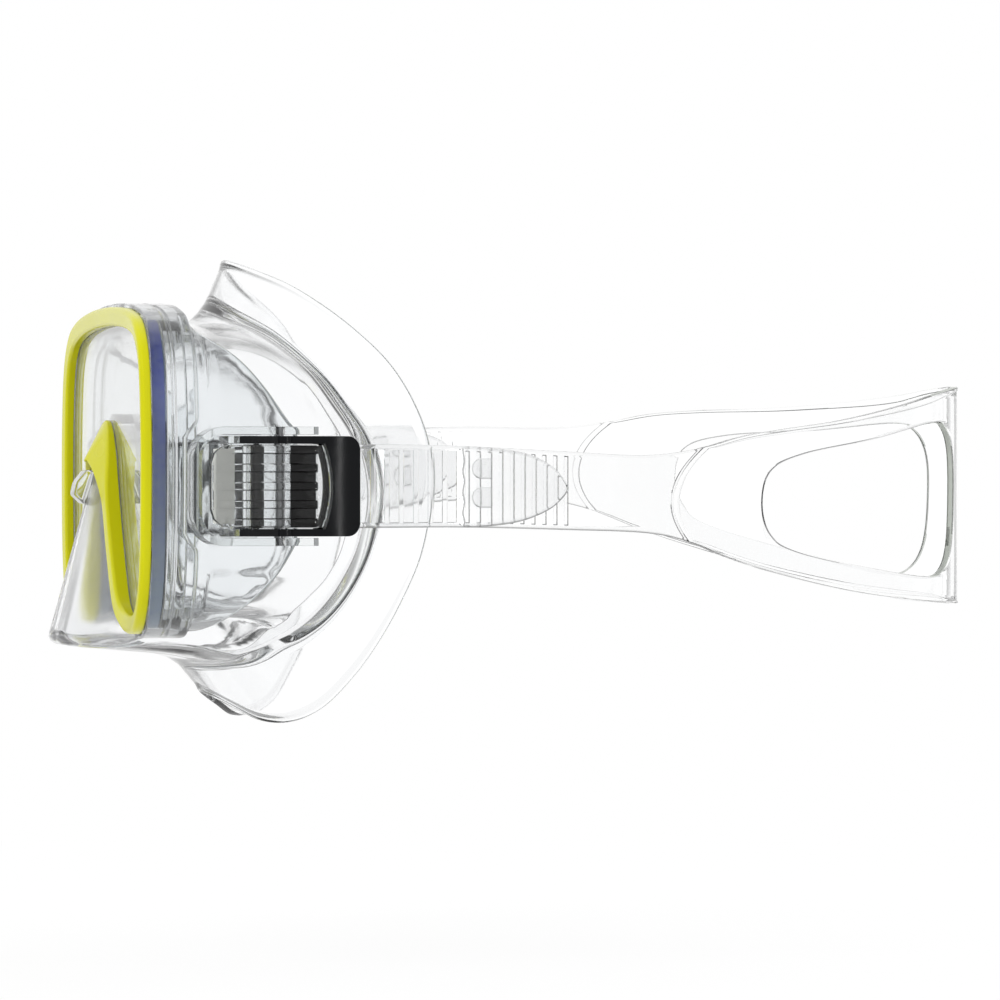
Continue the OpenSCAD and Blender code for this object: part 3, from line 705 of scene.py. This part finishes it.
# Head strap, its buckle ends: clear silicone bands that go in through the collar, round the roller and
# out again to a loose matt tongue. Teeth on the tail and bars on the run let the pawl grip them.
STRAP_HALF = 0.9
ROLLER_V, LAYER_W = -6, 2.85
MAIN_LINE = [(90, 74.2), (130, 64.8), (170, 49.8), (205, 31), (222.3, 18.8), (230.4, 9), (232.7, 0),
             (230.4, -9)]
STRAP_TOP = [(10, 6.4), (53, 6.6), (81, 6.2), (110, 4.9), (132, 4), (147, 5.7), (160, 9), (173, 11.1),
             (191, 13.6), (210, 17.6), (228, 22.4), (238, 24)]
STRAP_LOW = [(10, -15), (53, -14.9), (81, -14.8), (110, -15.5), (132, -16.3), (144, -18.5), (156, -22.8),
             (169, -26.6), (191, -31.4), (210, -34.1), (228, -35.6), (238, -36.4)]
TONGUE_TOP = [(60, 6.6), (75, 6.5), (86, 6), (98, 4.4), (105.5, 1), (109, -3), (109.6, -4.6)]
TONGUE_LOW = [(60, -15), (75, -15), (86, -14.7), (97, -13.2), (105, -10), (109, -6.4), (109.6, -4.8)]
RIGHT_LIFT, LIFT_FROM, LIFT_RUN = 8.5, 56, 168
ARC_LOW, ARC_MIDDLE, ARC_TOP = 144.3, 139.8, 148.5
ARC_FROM = 120
TOOTH = ((0, 0), (0.12, 0.5), (2.5, 0.3), (2.75, 0))
TOOTH_COUNT, TOOTH_FROM, TOOTH_PITCH = 7, 53.4, 3.81
BAR = ((0, 0), (0.15, 0.45), (1, 0.45), (1.15, 0))
BAR_COUNT, BAR_FROM, BAR_PITCH = 10, 82, 3.05
PLAIN_EDGE = 1.2
TONGUE_RISE, TONGUE_EDGE = 0.45, 0.3

tail_line = [(111, 71.9), (100, 74.4), (88, 76.9), (72, 79.2), *[buckle_point(v, w) for v, w in (
    (23, 1.2), (16, 2.1), (10, LAYER_W), (2, LAYER_W), (ROLLER_V, LAYER_W))]]
run_line = [*[buckle_point(v, w) for v, w in (
    (ROLLER_V, -LAYER_W), (2, -LAYER_W), (10, -LAYER_W), (16, -2.2), (23, -1.3))], *MAIN_LINE]
tail_way = open_curve(tail_line, 16)
wrap_way = [buckle_point(ROLLER_V - LAYER_W * math.sin(a), LAYER_W * math.cos(a))
            for a in (math.radians(9 * k) for k in range(1, 20))]
way = tail_way + wrap_way + open_curve(run_line, 16)
silicone = clear_paint("clear_silicone", (0.995, 0.997, 0.998), 1.41, 0.0, 0.04, 40, 0.00004)
matt_tongue = clear_paint("matt_tongue_silicone", (0.99, 0.993, 0.995), 1.41, 0.16, 0.26, 40, 0.00004)
# The window edge's grey-green base with less transmission is painted shade: it stands in for the grey-green
# shade lines along the rim, over a real matt roughness.
edge_shade_silicone = clear_paint("matt_silicone_painted_edge_shade", (0.8, 0.84, 0.78), 1.41, 0.3, 0.4, 40, 0.00004)
edge_shade_silicone.node_tree.nodes["Principled BSDF"].inputs["Transmission Weight"].default_value = 0.6
lengths = [0.0]
for one, other in zip(way, way[1:]):
    lengths.append(lengths[-1] + (other - one).length)
run_from = len(tail_way) + len(wrap_way)
rear_end = len(way) - 17


def on_way(length):
    i = min(max(bisect.bisect(lengths, length) - 1, 1), len(way) - 3)
    t = (length - lengths[i]) / (lengths[i + 1] - lengths[i])
    ahead = (way[i + 1] - way[i - 1]).normalized().lerp((way[i + 2] - way[i]).normalized(), t)
    return way[i].lerp(way[i + 1], t), Vector((-ahead.y, ahead.x)).normalized()


def length_at(x, first, last):
    for i in range(first, last):
        low, high = sorted((way[i].x, way[i + 1].x))
        if low <= x <= high:
            return lengths[i] + (x - way[i].x) / (way[i + 1].x - way[i].x) * (lengths[i + 1] - lengths[i])
    raise ValueError(x)


def height_at(curve, x):
    i = min(max(bisect.bisect([p.x for p in curve], x) - 1, 0), len(curve) - 2)
    return mixed(curve[i].y, curve[i + 1].y, (x - curve[i].x) / (curve[i + 1].x - curve[i].x))


top_curve, low_curve = open_curve(STRAP_TOP, 6), open_curve(STRAP_LOW, 6)
tongue_top, tongue_low = open_curve(TONGUE_TOP, 8), open_curve(TONGUE_LOW, 8)


def strap_point(length, z, off, side):
    spot, out = on_way(length)
    spot = spot + off * out
    if side > 0:
        z += RIGHT_LIFT * math.sin(math.pi * min(max((spot.x - LIFT_FROM) / LIFT_RUN, 0), 1) ** 0.85)
    return row(spot.x, side * spot.y, z)


def band_section(low, high, ridge, margin):
    turn = min(0.85, 0.35 * (high - low))
    margin = min(margin, 0.3 * (high - low))
    quarter = [(math.cos(a) * turn, math.sin(a) * turn) for a in (math.radians(22.5 * k) for k in range(5))]
    inner, outer = STRAP_HALF - turn, STRAP_HALF
    levels = [k / 24 for k in range(1, 24)]
    points = [(inner + b, low + turn - a) for a, b in quarter]
    points += [(outer, mixed(low + turn, high - turn, t)) for t in levels]
    points += [(inner + a, high - turn + b) for a, b in quarter]
    points += [(-inner - b, high - turn + a) for a, b in quarter]
    points += [(-outer, high - margin), (-outer - ridge, high - margin - 0.2)]
    points += [(-outer - ridge, mixed(high - margin - 0.2, low + margin + 0.2, t)) for t in levels]
    points += [(-outer - ridge, low + margin + 0.2), (-outer, low + margin)]
    points += [(-inner - a, low + turn - b) for a, b in quarter]
    return points


def arc_at(t):
    low, middle, top = (t - 0.45) * (t - 1) / 0.45, t * (t - 1) / (0.45 * -0.55), t * (t - 0.45) / 0.55
    return ARC_LOW * low + ARC_MIDDLE * middle + ARC_TOP * top


def tail_stations():
    marks = [(x, TONGUE_RISE, TONGUE_EDGE) for x in (
        109.5, 109.3, 108.9, 108.2, 107, 105.5, 104, 102, 100, 98, 96, 94, 92, 90, 88, 86, 84, 82, 81.4, 80.9)]
    marks += [(80.6, 0, TONGUE_EDGE), (79.6, 0, PLAIN_EDGE)]
    for k in reversed(range(TOOTH_COUNT)):
        marks += [(TOOTH_FROM + TOOTH_PITCH * k + step, rise, PLAIN_EDGE) for step, rise in reversed(TOOTH)]
    marks += [(x, 0, PLAIN_EDGE) for x in (51, 48, 45, 42, 39, 36, 33, 30, 28)]
    return marks


def strap_run(side):
    sections = []
    for x, ridge, margin in tail_stations():
        high = min(height_at(top_curve, x), height_at(tongue_top, x))
        low = max(height_at(low_curve, x), height_at(tongue_low, x))
        wave = 0.22 if 80.5 < x < 81 else 0
        points = []
        for off, z in band_section(low, high, ridge, margin):
            length = length_at(x + wave * math.sin(25 * (z - low) / (high - low)), 0, len(tail_way))
            points.append(strap_point(length, z, off, side))
        sections.append(points)
    high, low = height_at(top_curve, 26), height_at(low_curve, 26)
    for k in range(21):
        length = mixed(lengths[len(tail_way) - 1], lengths[run_from], k / 20)
        sections.append([strap_point(length, z, off, side)
                         for off, z in band_section(low, high, 0, PLAIN_EDGE)])
    marks = [(x, 0) for x in (28, 30, 33, 36, 39, 42, 45, 48, 51, 54, 58, 62, 66, 70, 74, 78, 80.5)]
    for k in range(BAR_COUNT):
        marks += [(BAR_FROM + BAR_PITCH * k + step, rise) for step, rise in BAR]
    marks += [(x, 0) for x in (111.5, 113, 115, 117)]
    for x, ridge in marks:
        high, low = height_at(top_curve, x), height_at(low_curve, x)
        sections.append([strap_point(length_at(x, run_from, rear_end), z, off, side)
                         for off, z in band_section(low, high, ridge, PLAIN_EDGE)])
    for k in range(13):
        share = k / 12
        high, low = (height_at(curve, mixed(ARC_FROM, arc_at(t), share))
                     for curve, t in ((top_curve, 1), (low_curve, 0)))
        points = []
        for off, z in band_section(low, high, 0, PLAIN_EDGE):
            x = mixed(ARC_FROM, arc_at(min(max((z - low) / (high - low), 0), 1)) - 0.06, share)
            points.append(strap_point(length_at(x, run_from, rear_end), z, off, side))
        sections.append(points)
    return sections


# Head strap, its wide rear: a window each side, a raised rim round the outside and a bridge across the
# back of the head. Each half is one mesh with its buckle end, so the silicone has no seam where it widens.
WINDOW = [(166.7, -9), (169.3, 0), (180, 4.6), (202, 8.6), (221, 13), (226, 11.6), (228.8, 5), (229.2, -7),
          (228.2, -19.5), (225, -26.4), (218.5, -28.2), (198, -25.4), (178, -21.5), (169.5, -17.2)]
RIM_WIDE, RIM_HIGH = 1.7, 0.5
ARC_STEPS, SIDE_STEPS, BRIDGE_STEPS = 24, 70, 30
TURN_TOP, TURN_REAR, TURN_LOW, TURN_FRONT = 1.6, 4.7, 9.3, 12.4
BUMP_CENTRES = (0.4, -7.05)
BUMP_ROUND, BUMP_FLAT, BUMP_DEEP, BUMP_HALF = 85.5, 88.2, 2.6, 2.65
rear_length = lengths[rear_end] - 0.03


def window_at(t):
    t %= len(WINDOW)
    i = int(t)
    return spline(*[Vector(WINDOW[(i + k) % len(WINDOW)]) for k in (-1, 0, 1, 2)], t - i)


def rear_stations():
    found = []
    for k in range(ARC_STEPS):
        t = k / ARC_STEPS
        x = arc_at(t)
        low, high = height_at(low_curve, ARC_LOW), height_at(top_curve, ARC_TOP)
        turn = mixed(TURN_FRONT, TURN_TOP + len(WINDOW), t)
        found.append(((length_at(x, run_from, rear_end), mixed(low, high, t)), turn, 1))
    for k in range(SIDE_STEPS):
        t = k / SIDE_STEPS
        length = mixed(length_at(ARC_TOP, run_from, rear_end), rear_length, t)
        top = height_at(top_curve, on_way(length)[0].x)
        found.append(((length, top), mixed(TURN_TOP, TURN_REAR, t), ease((1 - t) * 12)))
    high, low = (height_at(curve, way[rear_end].x) for curve in (top_curve, low_curve))
    for k in range(BRIDGE_STEPS):
        t = k / BRIDGE_STEPS
        found.append(((rear_length, mixed(high, low, t)), mixed(TURN_REAR, TURN_LOW, t), 0))
    for k in range(SIDE_STEPS):
        t = k / SIDE_STEPS
        length = mixed(rear_length, length_at(ARC_LOW, run_from, rear_end), t)
        bottom = height_at(low_curve, on_way(length)[0].x)
        found.append(((length, bottom), mixed(TURN_LOW, TURN_FRONT, t), ease(t * 12)))
    return found


def rear_section(edge, turn, rim, side):
    edge = Vector(edge)
    hole = window_at(turn)
    hole = Vector((length_at(hole.x, run_from, rear_end), hole.y))
    span = (hole - edge).length
    flat = STRAP_HALF
    high = flat + RIM_HIGH * rim
    web = [mixed(RIM_WIDE + 0.6, span - 0.6, k / 12) for k in range(1, 12)]
    profile = [(0.5 * rim, -flat), (0.15 * rim, -0.75), (0, -0.4), (0, high - 0.45), (0.15 * rim, high - 0.12),
               (0.5 * rim, high), (RIM_WIDE - 0.3, high), (RIM_WIDE, mixed(flat, high, 0.7)),
               (RIM_WIDE + 0.2, mixed(flat, high, 0.1)), (RIM_WIDE + 0.5, flat)]
    profile += [(s, flat) for s in web]
    profile += [(span - 0.6, flat), (span - 0.18, 0.72), (span, 0.35), (span, -0.35), (span - 0.18, -0.72),
                (span - 0.6, -flat)]
    profile += [(s, -flat) for s in reversed(web)]
    points = []
    for s, off in profile:
        spot = edge.lerp(hole, s / span)
        points.append(strap_point(spot.x, spot.y, off, side))
    return points


def tongue_bumps(form, side):
    turns = [math.radians(15 * k - 90) for k in range(13)]
    for centre in BUMP_CENTRES:
        bump = [(BUMP_ROUND - BUMP_DEEP * math.cos(a), centre + BUMP_HALF * math.sin(a)) for a in turns]
        bump += [(BUMP_FLAT, centre + BUMP_HALF), (BUMP_FLAT, centre - BUMP_HALF)]
        foot = [strap_point(length_at(x, 0, len(tail_way)), z, -1.33, side) for x, z in bump]
        shell = form.faces.new([form.verts.new(p) for p in foot])
        tops = verts_in(bmesh.ops.extrude_face_region(form, geom=[shell])["geom"])
        bmesh.ops.translate(form, verts=tops, vec=(0, side * 0.00042, 0))
        middle = sum((v.co for v in tops), Vector()) / len(tops)
        bmesh.ops.scale(form, verts=tops, vec=(0.88, 1, 0.88), space=Matrix.Translation(-middle))


def strap_half(side):
    loops = [rear_section(edge, turn, rim, side) for edge, turn, rim in rear_stations()]
    form = swept(loops, True)
    nearest = KDTree(len(form.verts))
    form.verts.ensure_lookup_table()
    for v in form.verts:
        nearest.insert(v.co, v.index)
    nearest.balance()
    joint = {form.verts[nearest.find(loop[k])[1]] for loop in loops[:ARC_STEPS + 1] for k in (2, 3)}
    bmesh.ops.delete(form, geom=[f for f in form.faces if joint.issuperset(f.verts)], context="FACES_ONLY")
    swept(strap_run(side), False, form, 1)
    bmesh.ops.bridge_loops(form, edges=[e for e in form.edges if e.is_boundary])
    tongue_bumps(form, side)
    bmesh.ops.recalc_face_normals(form, faces=form.faces)
    for face in form.faces:
        spot = 1000 * face.calc_center_median()
        x = spot.x + LENS_TO_SEAL
        on_tongue = 80.7 < x < 110 and abs(spot.y) > 75.8 - 0.222 * (x - 88)
        # Faces along the window's rear edge take the matt material whose grey-green colour is painted shade.
        on_window = x > 221 and -29.5 < spot.z < 14.5 + RIGHT_LIFT and abs(face.normal.x) < 0.55
        face.material_index = 1 if on_tongue else 2 if on_window else 0
    return form


for hand, side in (("left", -1), ("right", 1)):
    band = finish_piece(f"strap_{hand}", strap_half(side), [silicone, matt_tongue, edge_shade_silicone], None,
                        "strap_silicone", "head_strap")
    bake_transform(band)
